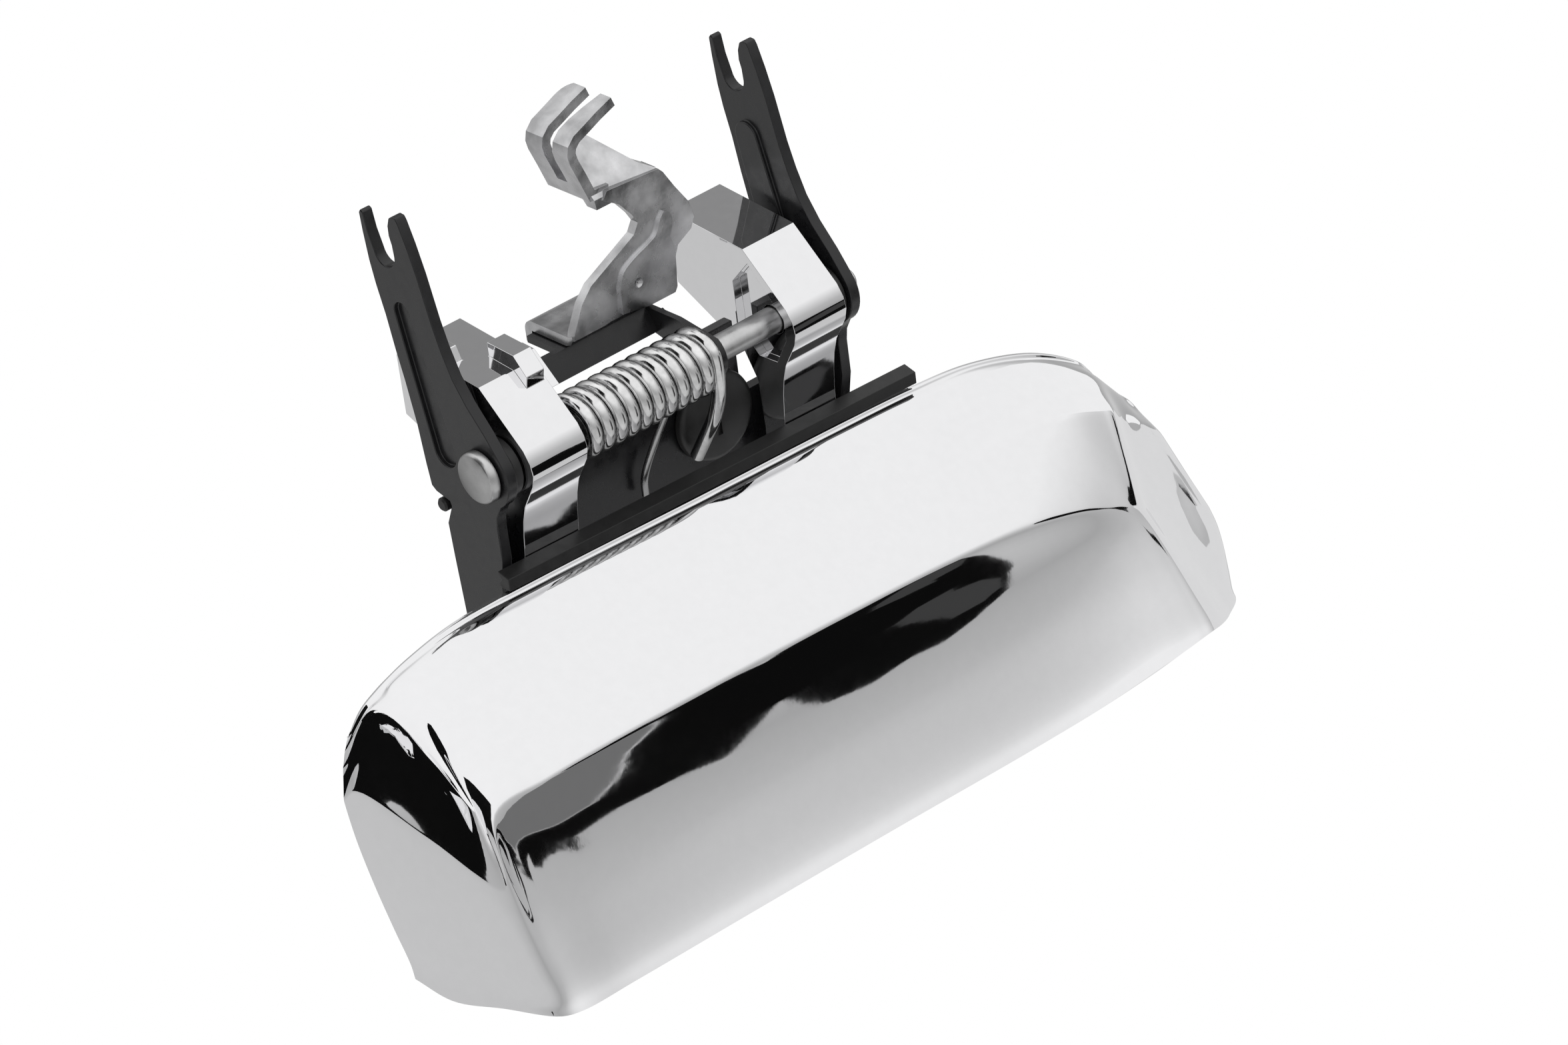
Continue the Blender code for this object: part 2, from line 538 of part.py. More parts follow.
# The slot between the two prongs, and the rounded rear corner of the back one
slot_outline = [(-0.0140, hook_front + 0.0047), (0.0015, hook_front + 0.0047),
                (0.0140, hook_front + 0.0022),
                (0.0140, hook_front + 0.0078), (-0.0140, hook_front + 0.0078)]
hook_slot = slab("hook_slot", slot_outline, 0.0385, 0.0640, axis="z")
boolean(hook, hook_slot, "DIFFERENCE")
hook_corner = slab("hook_corner", [(0.0060, hook_back + 0.001), (0.0060, hook_back)]
                   + [(0.0060 + 0.0040 * math.sin(math.radians(a)),
                       hook_back - 0.0040 * (1 - math.cos(math.radians(a))))
                      for a in (20, 40, 60, 80)] + [(0.0160, hook_back - 0.0040),
                                                    (0.0160, hook_back + 0.001)],
                   0.0440, 0.0640, axis="z")
boolean(hook, hook_corner, "DIFFERENCE")
boolean(lever, hook, "UNION")
flange_under = flange_z - lever_t
flange_line = [(lever_y + 0.0002, flange_z + 0.0006), (lever_y + 0.0018, flange_z),
               (flange_back - 0.0020, flange_z),
               (flange_back - 0.0006, flange_z - 0.0007), (flange_back, flange_z - 0.0020),
               (flange_back, flange_z - flange_drop), (flange_back - lever_t, flange_z - flange_drop),
               (flange_back - lever_t, flange_under), (lever_y + 0.0026, flange_under),
               (lever_y + 0.0010, flange_z - 0.0016), (lever_y + 0.0002, flange_z - 0.0004)]
flange = slab("lever_flange", flange_line, flange_left, ear_right_x + ear_t)
boolean(lever, flange, "UNION")

# Main spring: close coil on the pin, a hooked tail and a leg down to the web
coil_r = coil_d / 2 - wire_d / 2
first_x = coil_left_x + wire_d / 2
last_x = coil_right_x - wire_d / 2
steps_turn = 14
total = int(coil_turns * steps_turn) + 4
path = []
start_deg = 40.0
path.append((first_x + 0.0125, 0.0168, 0.0098))
path.append((first_x + 0.0062, 0.0118, 0.0092))
path.append((first_x + 0.0010, coil_r * math.cos(math.radians(start_deg)) + 0.0022,
             coil_r * math.sin(math.radians(start_deg)) + 0.0030))
for k in range(total + 1):
    a = math.radians(start_deg + 20) + 2 * math.pi * k / steps_turn
    t = k / total
    path.append((first_x + (last_x - first_x) * t, coil_r * math.cos(a), coil_r * math.sin(a)))
path.append((last_x + 0.0002, -coil_r * 0.86, -coil_r * 0.9))
path.append((last_x - 0.0002, -coil_r * 0.55, -0.0115))
path.append((last_x - 0.0004, 0.0002, -0.0190))
path.append((last_x - 0.0004, 0.0046, -0.0262))
main_spring = wire("main_spring", path, wire_d / 2, spring_steel, sides=8)

# Thin return wire from behind the lever, round the back of the coil and down to the web
thin_path = [(14.6, 16.9, 3.6), (14.9, 13.6, 1.2), (14.6, 10.8, -2.2), (12.6, 8.6, -5.0), (8.4, 7.4, -8.8),
             (4.4, 6.9, -12.8),
             (-3.2, 6.6, -23.6), (-3.6, 6.7, -28.0)]
thin_points = [tuple(0.001 * c for c in p) for p in spline(thin_path, 4)]
wire("lever_wire", thin_points, thin_wire_d / 2, thin_steel, sides=8)
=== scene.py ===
# %% [markdown]
# This notebook dresses a pull-up exterior door handle. Its chrome grip and its cable lever turn on
# one long pin, and a black forked frame carries the pin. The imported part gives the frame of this
# scene, so every piece here is placed by the sizes that the part has, in millimetres.

# %% Load the part
import math
import bpy
import bmesh
from mathutils import Matrix, Vector


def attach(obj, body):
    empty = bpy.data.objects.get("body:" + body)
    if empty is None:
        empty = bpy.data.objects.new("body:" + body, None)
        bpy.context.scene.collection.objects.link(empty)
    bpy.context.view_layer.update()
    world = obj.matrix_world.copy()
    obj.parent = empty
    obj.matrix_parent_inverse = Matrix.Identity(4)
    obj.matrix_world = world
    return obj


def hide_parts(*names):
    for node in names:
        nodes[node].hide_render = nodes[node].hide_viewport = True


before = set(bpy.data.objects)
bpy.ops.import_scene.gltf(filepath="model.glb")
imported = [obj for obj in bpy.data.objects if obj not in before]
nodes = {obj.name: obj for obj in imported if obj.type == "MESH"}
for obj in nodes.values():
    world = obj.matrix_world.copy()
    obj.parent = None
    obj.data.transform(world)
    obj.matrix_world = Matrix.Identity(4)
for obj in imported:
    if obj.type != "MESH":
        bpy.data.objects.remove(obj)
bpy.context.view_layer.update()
MM = 0.001      # metres in a millimetre
print("nodes:", ", ".join(sorted(nodes)))

# %% [markdown]
# The grip is a zinc casting with a thick bright chrome plate, so its form has to be smooth above
# all: every dent would show in the reflections. It could be sculpted, or lofted from a few
# sections. Here sections across the grip are lofted along it, because a section keeps the ridge
# between the top and the lower face where it belongs. At the left end the crown of the top face
# becomes an edge of its own, over a narrow facet that ends at the end wall. At the right end the
# lower face turns round a crisp crease into the other end wall.

# %% Table of sections
# Points (x, y, z): lip, shoulder, crown, ridge corner and bottom edge. Then the depth of the
# hollow in the lower face, and the radii of the fillets at the crown and at the ridge.
stations = [
    ((-92.6, -4, -36.8), (-94.0, -4.2, -39.5), (-95.2, -4.5, -42.4), (-97, -5.5, -48.5),
     (-94.6, -16.5, -87.4), -0.8, 1.0, 2.5),
    ((-88.6, -4, -32.3), (-88.3, -6.5, -31.7), (-87.3, -10.5, -31.4), (-96.0, -9, -45.2),
     (-93.2, -26, -89.3), -0.9, 1.2, 2.5),
    ((-84.4, -4, -30.0), (-85.2, -8.5, -30.2), (-86.9, -23.5, -37.9), (-92.0, -25, -52),
     (-90.4, -39, -87.0), -0.8, 1.0, 2.5),
    ((-80.8, -4, -28.6), (-82.6, -7.5, -28.8), (-86.6, -34.0, -44.8), (-87.8, -41.6, -59.5),
     (-86.8, -52.6, -84.8), -0.2, 1.2, 2.5),
    ((-76, -4, -27.1), (-77.8, -7.5, -27.5), (-82.4, -22.5, -36.0), (-84.2, -37.0, -45.2),
     (-83.8, -55.0, -84.2), 0.9, 6, 3.2),
    ((-64, -4, -24.8), (-64.8, -7, -25.6), (-68, -22, -34.4), (-70.5, -37.5, -43.8),
     (-70, -55.2, -84.5), 2.0, 6, 3.2),
    ((-42, -4, -24.6), (-42, -7, -26.0), (-42, -22, -34.6), (-42, -38, -43.7),
     (-42, -55.2, -85), 2.9, 6, 3.2),
    ((0, -4, -26.1), (0, -7, -27.5), (0, -22, -35.9), (0, -38.2, -45),
     (0, -55.2, -85.9), 3.1, 6, 3.2),
    ((40, -4, -27.4), (40, -7, -28.8), (40, -22, -37.5), (40, -37.8, -47.5),
     (40, -55.2, -87), 2.8, 6, 3.0),
    ((60, -4, -28.5), (60.5, -7, -29.8), (61, -21.6, -38.8), (61, -37.2, -50.5),
     (61, -55.2, -87.0), 2.4, 6, 3.4),
    ((77, -4, -30.5), (78, -7, -31.6), (77.5, -21.5, -40.2), (76.6, -36.8, -54.6),
     (77.0, -55.2, -86.2), 1.7, 6, 3.6),
    ((95.0, -4.2, -36.0), (94.0, -8, -37.0), (89.5, -22, -42.6), (84.5, -36.8, -57.7),
     (84.8, -55.1, -85.8), 1.2, 6, 3.2),
    ((107.8, -4.3, -43.9), (104.9, -9.4, -43.5), (97.5, -22, -45.4), (90.1, -36.9, -60.0),
     (90.3, -54.9, -85.5), 0.7, 4, 2.6),
    ((110.6, -4.4, -47.4), (107.9, -9.5, -45.9), (100.5, -22, -46.6), (92.6, -36.8, -61.4),
     (93.4, -54.6, -85.5), 0.5, 4, 2.2),
    ((112.6, -4.5, -50.8), (111.0, -9.4, -49.4), (103.6, -21.5, -50.2), (95.8, -35.8, -64.2),
     (96.9, -53.4, -86.3), 0.2, 4, 3),
    ((114.0, -4.5, -53.8), (113.6, -9.8, -52.6), (109.8, -21, -54.2), (104.5, -33.2, -68.4),
     (103.6, -49.2, -88.6), -0.9, 5, 3),
    ((114.0, -4.6, -57.0), (114.6, -11.8, -54.4), (115.4, -20.8, -60.8), (116.2, -32.2, -74.4),
     (110.8, -42.6, -89.8), -0.9, 5, 3),
    ((112.6, -4.6, -62.0), (113.0, -7.0, -67.0), (113.6, -10.5, -72.0), (114.0, -17.0, -80.0),
     (111.0, -27.0, -90.6), -1.0, 5, 3),
]
print(len(stations), "sections from", stations[0][0][0], "to", stations[-1][0][0], "mm")

# %% [markdown]
# Between its five points a section needs soft corners, a rolled bead along the back lip and a
# shallow hollow in the lower face. Each corner is cut back on both sides, as a fillet in a
# drawing would be, and the bottom edge turns out a little, which gives the pale line that the
# real rim shows.

# %% Soft corners of a section
hollow_places = (0.2, 0.45, 0.72, 0.92)     # where the hollow is measured, from ridge to bottom
hollow_skew = 0.75                          # below 1 the deepest place moves towards the ridge
rim_turn = 0.4                              # how far the bottom edge turns out


def fillet(before, corner, after, radius):
    """Three points that round a corner, never closer together than about half a millimetre."""
    a, b = (before - corner).normalized(), (after - corner).normalized()
    half_turn = max((math.pi - a.angle(b)) / 2, 0.02)
    back_off = max(radius * math.tan(half_turn), 0.5)
    sink = back_off / math.tan(half_turn) * (1 / math.cos(half_turn) - 1)
    bent = (a + b).length > 1e-3
    middle = (a + b).normalized() * sink if bent else Vector((0, 0, 0))
    return [corner + a * back_off, corner + middle, corner + b * back_off]


def section(lip, shoulder, crown, corner, bottom, hollow, crown_r, corner_r):
    """Rolled lip, top face, crown, facet, filleted ridge and hollow lower face of one section."""
    lip, shoulder, crown, corner, bottom = [Vector(p) for p in (lip, shoulder, crown, corner, bottom)]
    down, up = bottom - corner, crown - corner
    inwards = down.cross(up).cross(down).normalized()
    low = [corner + down * t + inwards * (hollow * math.sin(math.pi * t ** hollow_skew))
           for t in hollow_places]
    low.append(bottom - inwards * rim_turn)
    top = fillet(shoulder, crown, corner, crown_r)
    ridge = fillet(crown, corner, low[0], corner_r)
    along = (shoulder - lip).normalized()
    out = (Vector((0, 0, 1)) - along * along.z).normalized()
    bead = [lip, lip + along * 0.9 - out * 0.3 * along.y, lip + along * 1.7 + out * 0.2 * along.y]
    back_half = bead + [shoulder, (shoulder + top[0]) / 2]
    return back_half + top + [(top[2] + ridge[0]) / 2] + ridge + low


print("points in a section:", len(section(*stations[0])))

# %% [markdown]
# A smooth curve is needed twice, along each section and from section to section. A plain cubic
# curve overshoots where its points lie at uneven distances, so this one weighs each step by the
# root of its length.

# %% A smooth curve
def spline(points, steps):
    """A smooth curve through the points, with the given number of steps from each to the next."""
    pts = [Vector(p) for p in points]
    made = []
    for i in range(len(pts) - 1):
        p1, p2 = pts[i], pts[i + 1]
        p0 = pts[i - 1] if i else p1 + (p1 - p2)
        p3 = pts[i + 2] if i + 2 < len(pts) else p2 + (p2 - p1)
        d0, d1, d2 = [max((b - a).length, 1e-9) ** 0.5 for a, b in ((p0, p1), (p1, p2), (p2, p3))]
        m1 = (p2 - p1) + d1 * ((p1 - p0) / d0 - (p2 - p0) / (d0 + d1))
        m2 = (p2 - p1) + d1 * ((p3 - p2) / d2 - (p3 - p1) / (d1 + d2))
        for k in range(steps):
            t = k / steps
            made.append((2 * t ** 3 - 3 * t ** 2 + 1) * p1 + (t ** 3 - 2 * t ** 2 + t) * m1
                        + (-2 * t ** 3 + 3 * t ** 2) * p2 + (t ** 3 - t ** 2) * m2)
    made.append(pts[-1])
    return made


lines = [spline(section(*station), 5) for station in stations]
surface = [spline([line[r] for line in lines], 8) for r in range(len(lines[0]))]
rows, cols = len(surface), len(surface[0])
print("loft of", cols, "by", rows, "points")

# %% [markdown]
# A flat grid is laid on the loft: each of its points moves to its place on the smooth surface.
# Solidify then gives the casting its wall, towards the inside, where the fingers go.

# %% Skin of the grip
skin_t = 2.5


def as_object(name, bm):
    """Clean a bmesh, point its faces outwards and put it in the scene."""
    bmesh.ops.remove_doubles(bm, verts=bm.verts[:], dist=1e-7)
    bmesh.ops.recalc_face_normals(bm, faces=bm.faces[:])
    mesh = bpy.data.meshes.new(name)
    bm.to_mesh(mesh)
    bm.free()
    obj = bpy.data.objects.new(name, mesh)
    bpy.context.scene.collection.objects.link(obj)
    return obj


bm = bmesh.new()
bmesh.ops.create_grid(bm, x_segments=cols - 1, y_segments=rows - 1, size=1.0)
for vert in bm.verts:
    c = round((vert.co.x + 1) / 2 * (cols - 1))
    r = round((vert.co.y + 1) / 2 * (rows - 1))
    vert.co = surface[r][c] * MM
bm.normal_update()
if sum(f.normal.y for f in bm.faces) > 0:
    bmesh.ops.reverse_faces(bm, faces=bm.faces[:])
bmesh.ops.solidify(bm, geom=bm.faces[:], thickness=skin_t * MM)
skin = as_object("grip_skin", bm)
print("grip skin:", len(skin.data.polygons), "faces, wall", skin_t, "mm")

# %% [markdown]
# The other pieces of the handle are cut from sheet, cast flat or turned. So one helper draws an
# outline as a single face and extrudes it, and another turns a profile round an axis with the
# spin operator, as a lathe would.

# %% Extruded and turned forms
def plate(name, outline, start, end, axis="x"):
    """An outline in mm, given in the two other axes, extruded from start to end in mm."""
    bm = bmesh.new()
    order = {"x": (2, 0, 1), "y": (0, 2, 1), "z": (0, 1, 2)}[axis]
    verts = []
    for a, b in outline:
        point = (a, b, start)
        verts.append(bm.verts.new([point[k] * MM for k in order]))
    face = bm.faces.new(verts)
    grown = bmesh.ops.extrude_face_region(bm, geom=[face])
    moved = [g for g in grown["geom"] if isinstance(g, bmesh.types.BMVert)]
    step = [(end - start) * MM if axis == k else 0.0 for k in "xyz"]
    bmesh.ops.translate(bm, verts=moved, vec=step)
    return as_object(name, bm)


def turned(name, profile, centre=(0, 0, 0), axis="x", steps=64):
    """A profile of (along, radius) in mm, spun once round the axis through the centre."""
    bm = bmesh.new()
    made = []
    for along, radius in profile:
        point = (along, radius, 0) if axis == "x" else (radius, along, 0)
        made.append(bm.verts.new([(point[k] + centre[k]) * MM for k in range(3)]))
    edges = [bm.edges.new(pair) for pair in zip(made, made[1:])]
    turn_axis = (1, 0, 0) if axis == "x" else (0, 1, 0)
    bmesh.ops.spin(bm, geom=made + edges, cent=[c * MM for c in centre], axis=turn_axis,
                   angle=2 * math.pi, steps=steps, use_merge=True)
    return as_object(name, bm)

# %% [markdown]
# Pieces are joined and cut with exact booleans that are applied at once, so the tool objects can
# go. Then a bevel rounds the edges, and its hardened normals keep the flats flat. Everything that
# turns on the pin gets the same bore, a little wider than the pin.

# %% Join, cut and round
pin_r, bore_r = 2.85, 3.2


def settle(obj):
    """Replace an object's mesh by what its modifiers make of it."""
    graph = bpy.context.evaluated_depsgraph_get()
    mesh = bpy.data.meshes.new_from_object(obj.evaluated_get(graph))
    obj.modifiers.clear()
    obj.data = mesh


def combine(obj, tool, operation="UNION"):
    """Join a tool object to a piece, or cut it away, and remove the tool."""
    mod = obj.modifiers.new("combine", "BOOLEAN")
    mod.operation = operation
    mod.solver = "EXACT"
    mod.object = tool
    settle(obj)
    bpy.data.objects.remove(tool)


def drill(obj, start, end):
    """Cut the bore for the pin between two places along x."""
    profile = [(start, 0), (start, bore_r), (end, bore_r), (end, 0)]
    combine(obj, turned("bore", profile, steps=48), "DIFFERENCE")


def round_edges(obj, width, segments=3, angle=28):
    """Bevel every edge that is sharper than the angle."""
    mod = obj.modifiers.new("rounded edges", "BEVEL")
    mod.width = width * MM
    mod.segments = segments
    mod.limit_method = "ANGLE"
    mod.angle_limit = math.radians(angle)
    mod.harden_normals = True
    obj.data.shade_smooth()
    settle(obj)


print("pin", 2 * pin_r, "mm in bores of", 2 * bore_r, "mm")

# %% [markdown]
# Two lugs stand up from the back of the grip and turn on the pin. On the real casting they are
# flat bosses with a machined bore, small locating tabs and a shallow pocket on the inner side.
# They are extruded across their width and cut, then all their edges are rounded like a casting's.

# %% Lugs
lug_in, lug_out = 28.0, 42.2        # inner and outer face of each lug, from the middle
pocket_depth = 2.0
nose = [(-6.8, 5.2), (-8.4, 2.6), (-8.9, 0.0), (-8.2, -2.6), (-6.6, -5.2), (-4.6, -8.4),
        (-3.4, -12.0), (-2.6, -16.0), (-2.0, -21.0)]
foot_low = [(-16.0, -45.0), (0.0, -45.0), (6.0, -40.0)]
back = [(4.6, -26.0), (5.0, -15.0), (8.4, -8.6), (15.6, -5.0)]
pocket = [(-5.6, -2.4), (-6.0, 2.2), (3.6, 12.6), (9.0, 7.0), (9.0, -3.0), (3.4, -8.6), (-2.0, -8.4)]
left_lug_extras = {
    "tab": ([(14.0, 15.0), (25.0, 15.0), (25.0, 20.6), (16.0, 19.6)], -lug_out + 1.6, -lug_out + 4.4),
    "rib": ([(1.5, 11.0), (12.0, 14.0), (12.0, 19.4), (4.0, 18.9), (0.6, 15.2)], -lug_in - 5.2, -lug_in - 0.6),
    "boss": ([(0.4, 10.4), (6.9, 16.3), (10.6, 16.5), (10.6, 10.5), (4.0, 9.6)], -lug_in - 3.0, -lug_in + 2.4),
}
lugs = []
for side, word, rise, rear in ((-1, "left", 2.0, 30.6), (1, "right", 0.0, 27.0)):
    lug_top = [(rear, 1.0), (rear, 14.6), (26.8, 17.8), (4.6, 15.6)]
    foot_top = [(-1.8, -28.2 + rise), (-8.0, -29.9 + rise), (-14.0, -32.6 + rise), (-20.5, -36.4 + rise),
                (-23.0, -39.0 + rise), (-22.0, -42.5)]
    lug = plate("lug_" + word, lug_top + nose + foot_top + foot_low + back, side * lug_in, side * lug_out)
    if word == "left":
        for extra, (outline, start, end) in left_lug_extras.items():
            combine(lug, plate(extra, outline, start, end))
    cut = plate("pocket", pocket, side * (lug_in - pocket_depth), side * (lug_in + pocket_depth))
    combine(lug, cut, "DIFFERENCE")
    drill(lug, side * 20, side * 50)
    round_edges(lug, 0.7)
    lugs.append(lug)
    print(lug.name, len(lug.data.polygons), "faces")

# %% [markdown]
# The frame is one black pressing: two forked arms on a web. Each arm has a long groove pressed
# inwards from the fork towards the pin, wider at its lower end. The pressing stands proud on the
# inner side, so a rounded bar is added there and a smaller one is cut into the outer side.

# %% Outline of an arm
arm_in, sheet_t = 45.0, 2.5


def arc(cy, cz, radius, start, end, steps):
    """Points on an arc round (cy, cz), between two angles in degrees."""
    angles = [math.radians(start + (end - start) * k / steps) for k in range(steps + 1)]
    return [(cy + radius * math.cos(a), cz + radius * math.sin(a)) for a in angles]


arm_outline = [(27.7, 50.0), (27.2, 50.7), (26.4, 50.3), (25.7, 46.2)]
arm_outline += arc(21.4, 42.8, 3.05, -10, -180, 12)         # the open slot of the fork
arm_outline += [(18.5, 45.4), (19.0, 47.4), (18.9, 49.6), (18.2, 51.4), (17.1, 52.1), (15.9, 52.0),
                (15.3, 51.0), (13.6, 46.3), (11.8, 40.3), (9.5, 30.6), (7.8, 25.2), (5.5, 19.6),
                (2.3, 14.7), (-2.2, 9.5)]
arm_outline += arc(0, 0, 7.4, 142, 240, 12)                 # round the pin
arm_outline += [(-2.1, -9.2), (-1.6, -12.0), (-1.6, -19.6), (-0.2, -26.0), (0.4, -42.2), (2.0, -44.0),
                (12.0, -44.0), (13.2, -42.6), (14.4, -24.1), (14.8, -16.2), (12.7, -11.7),
                (13.0, -10.7), (17.0, -9.7), (18.3, -8.7), (19.0, -3.8), (19.9, 4.9), (21.6, 14.3),
                (23.0, 20.6), (24.4, 28.2), (26.0, 34.6), (26.9, 39.6), (27.5, 46.0)]
print("arm outline:", len(arm_outline), "points")

# %% [markdown]
# The two arms are the same plate on both sides. The web joins them behind the grip, low enough
# at its ends for the lugs to swing, and a hole takes the stem of the rubber bumper.

# %% Frame arms and web
groove_top, groove_low = (18.8, 30.2), (11.8, 1.0)
groove_depth, ridge_height = 1.1, 0.9
bumper_at = (17.5, 0, -19.2)


def bar(top, low, r_top, r_low, steps=12):
    """A rounded bar that widens towards its lower end."""
    axis = (Vector(top) - Vector(low)).normalized()
    base = math.degrees(math.atan2(axis.y, axis.x))
    return arc(*top, r_top, base + 90, base - 90, steps) + arc(*low, r_low, base - 90, base - 270, steps)


arms = []
for side in (-1, 1):
    arm = plate("arm", arm_outline, side * arm_in, side * (arm_in + sheet_t))
    combine(arm, plate("ridge", bar(groove_top, groove_low, 3.3, 4.3),
                       side * (arm_in - ridge_height), side * (arm_in + 0.5)))
    combine(arm, plate("groove", bar(groove_top, groove_low, 2.3, 3.3),
                       side * (arm_in + sheet_t - groove_depth), side * (arm_in + sheet_t + 2)), "DIFFERENCE")
    arms.append(arm)
bracket = arms[0]
combine(bracket, arms[1])
web = [(-46, -44), (46, -44), (46, -18.5), (26.5, -18.5), (26.5, -1.5), (16.4, -1.5), (16.4, -8.6),
       (-26.5, -8.6), (-26.5, -18.5), (-46, -18.5)]
combine(bracket, plate("web", web, 9.0, 11.5, axis="y"))
drill(bracket, -60, 60)
stem_hole = [(5, 0), (5, 2.5), (15, 2.5), (15, 0)]
combine(bracket, turned("stem_hole", stem_hole, bumper_at, "y", 32), "DIFFERENCE")
round_edges(bracket, 0.4)
print(bracket.name, len(bracket.data.polygons), "faces")

# %% [markdown]
# The pin is turned from bar with a flat chamfered head on the left, and a ring holds it on the
# right. Nylon washers keep the lugs off the arms, and a small rubber buffer sits in a notch of
# the left arm. All of them are spun profiles.

# %% Pin, ring, washers and buffer
arm_out = arm_in + sheet_t
clear = 0.3                     # air between neighbouring pieces
pin = turned("pivot_pin_turned", [
    (-arm_out - 2.5, 0), (-arm_out - 2.5, 4.9), (-arm_out - 2.3, 5.25), (-arm_out - 1.7, 5.65),
    (-arm_out - 0.5, 5.65), (-arm_out - clear, 5.45), (-arm_out - clear, pin_r), (arm_out + 3.2, pin_r),
    (arm_out + 3.8, 2.25), (arm_out + 3.8, 0)])


def ring(name, start, end, outer, inner, edge=0.25):
    """A flat ring on the pin, with its outer edges chamfered."""
    return turned(name, [(start, inner), (start, outer - edge), (start + edge, outer), (end - edge, outer),
                         (end, outer - edge), (end, inner), (start, inner)])


clip = ring("retaining_ring_turned", arm_out + clear, arm_out + 1.3, 4.95, 3.15)
washer_left = ring("washer_left", -arm_in + clear, -lug_out - clear, 6.4, bore_r)
washer_right = ring("washer_right", lug_out + clear, arm_in - clear, 6.4, bore_r)
buffer = turned("arm_buffer_turned", [
    (-arm_out - 0.6, 0), (-arm_out - 0.6, 1.1), (-arm_out - 0.2, 1.5), (-arm_in + 0.2, 1.5),
    (-arm_in + 0.6, 1.1), (-arm_in + 0.6, 0)], (0, 15.2, -12.1), steps=32)
for piece in (pin, clip, washer_left, washer_right, buffer):
    print(piece.name, len(piece.data.polygons), "faces")

# %% [markdown]
# The bumper is a soft rubber disc with a moulded slot mark, pushed through the web and held by a
# barb behind it. It is turned about its own axis, which points straight at the user.

# %% Bumper
bumper = turned("bumper_turned", [
    (6.3, 0), (6.3, 8.6), (6.5, 9.2), (6.9, 9.7), (7.5, 9.9), (8.4, 9.9), (8.7, 9.6), (8.7, 2.2),
    (11.8, 2.2), (11.8, 3.4), (14.5, 2.2), (14.5, 0)], bumper_at, "y", 72)
slot_mark = [(16.9, -23.4), (18.1, -23.4), (18.1, -15.0), (16.9, -15.0)]
combine(bumper, plate("slot_mark", slot_mark, 5.0, 6.9, "y"), "DIFFERENCE")
print(bumper.name, len(bumper.data.polygons), "faces")

# %% [markdown]
# The cable lever is pressed from thick zinc plated sheet. Its blade has a joggle that runs up it
# like a stretched S and ends in a small raised loop, which stiffens the sheet. The raised side
# is a second outline a little in front of the first.

# %% Lever blade
lever_y, lever_t = 15.0, 2.2        # front face and thickness of the lever's sheet
blade = [(-9.6, 7.8), (-1.0, 7.8), (2.6, 8.4), (9.8, 7.2), (17.4, 7.2), (18.2, 8.4), (18.7, 14.1),
         (20.0, 17.0), (24.0, 19.1), (25.1, 21.3), (24.3, 25.0), (21.1, 30.0), (18.7, 34.2),
         (17.6, 35.4), (4.0, 36.2), (2.6, 34.6), (6.6, 32.0), (9.4, 28.4), (10.6, 26.2), (9.2, 24.0),
         (-3.4, 17.8), (-6.3, 14.8), (-9.2, 9.4)]
joggle_left = [(17.0, 26.2), (15.6, 24.6), (14.2, 22.0), (11.8, 20.8), (8.0, 19.4), (4.8, 17.5),
               (3.4, 14.6), (3.2, 11.4), (3.0, 8.6)]
joggle_right = [(10.0, 7.5), (17.2, 7.5), (17.9, 8.6), (18.4, 14.1), (18.6, 17.2), (17.7, 20.2)]
joggle_loop = [(18.3, 21.2), (19.0, 23.2), (18.5, 25.4), (17.0, 26.2)]
joggle = [(p.x, p.y) for p in spline(joggle_left, 4)] + joggle_right
joggle += [(p.x, p.y) for p in spline(joggle_loop, 4)][:-1]
lever = plate("cable_lever_pressed", blade, lever_y, lever_y + lever_t, "y")
combine(lever, plate("raised_side", joggle, lever_y - 0.7, lever_y + 0.5, "y"))
print(lever.name, "blade", lever_t, "mm thick")

# %% [markdown]
# At its top the blade bends back into a shelf under the hook, and at its foot into a flange with
# a rolled rear edge. Both are drawn from the side and extruded across the lever.

# %% Shelf and flange
flange_z, flange_back, flange_left = 8.3, 30.6, -9.8
ear_right, ear_t = 11.4, 1.4        # right ear of the bracket under the lever
roll_r = 2.4
shelf = plate("shelf", [(lever_y, 33.2), (lever_y + 3.0, 33.2), (lever_y + 10.0, 41.2),
                        (lever_y + 10.0, 44.4), (lever_y + 0.4, 35.2)], 0.8, 17.6)
shelf_cut = [(7.6, 50.0), (7.6, 44.8), (14.6, 37.4), (17.4, 35.6), (24.0, 35.6), (24.0, 50.0)]
combine(shelf, plate("shelf_cut", shelf_cut, lever_y - 2, lever_y + 14, "y"), "DIFFERENCE")
combine(lever, shelf)
flange_under = flange_z - lever_t
flange_line = [(lever_y + 0.2, flange_z + 0.6), (lever_y + 1.8, flange_z)]
flange_line += arc(flange_back - roll_r, flange_z - roll_r, roll_r, 90, 0, 6)
flange_line += [(flange_back, flange_z - 5.2), (flange_back - lever_t, flange_z - 5.2),
                (flange_back - lever_t, flange_under), (lever_y + 2.6, flange_under),
                (lever_y + 1.0, flange_z - 1.6), (lever_y + 0.2, flange_z - 0.4)]
combine(lever, plate("flange", flange_line, flange_left, ear_right + ear_t))
print("flange from", flange_left, "to", ear_right + ear_t, "mm")

# %% [markdown]
# The hook that holds the cable's nipple is one bent strip, slotted so that the cable runs between
# two prongs. The strip's outline is drawn along its outer side and given its thickness inwards.
# One dimple in the blade is left by the press, and a small sphere cuts it.

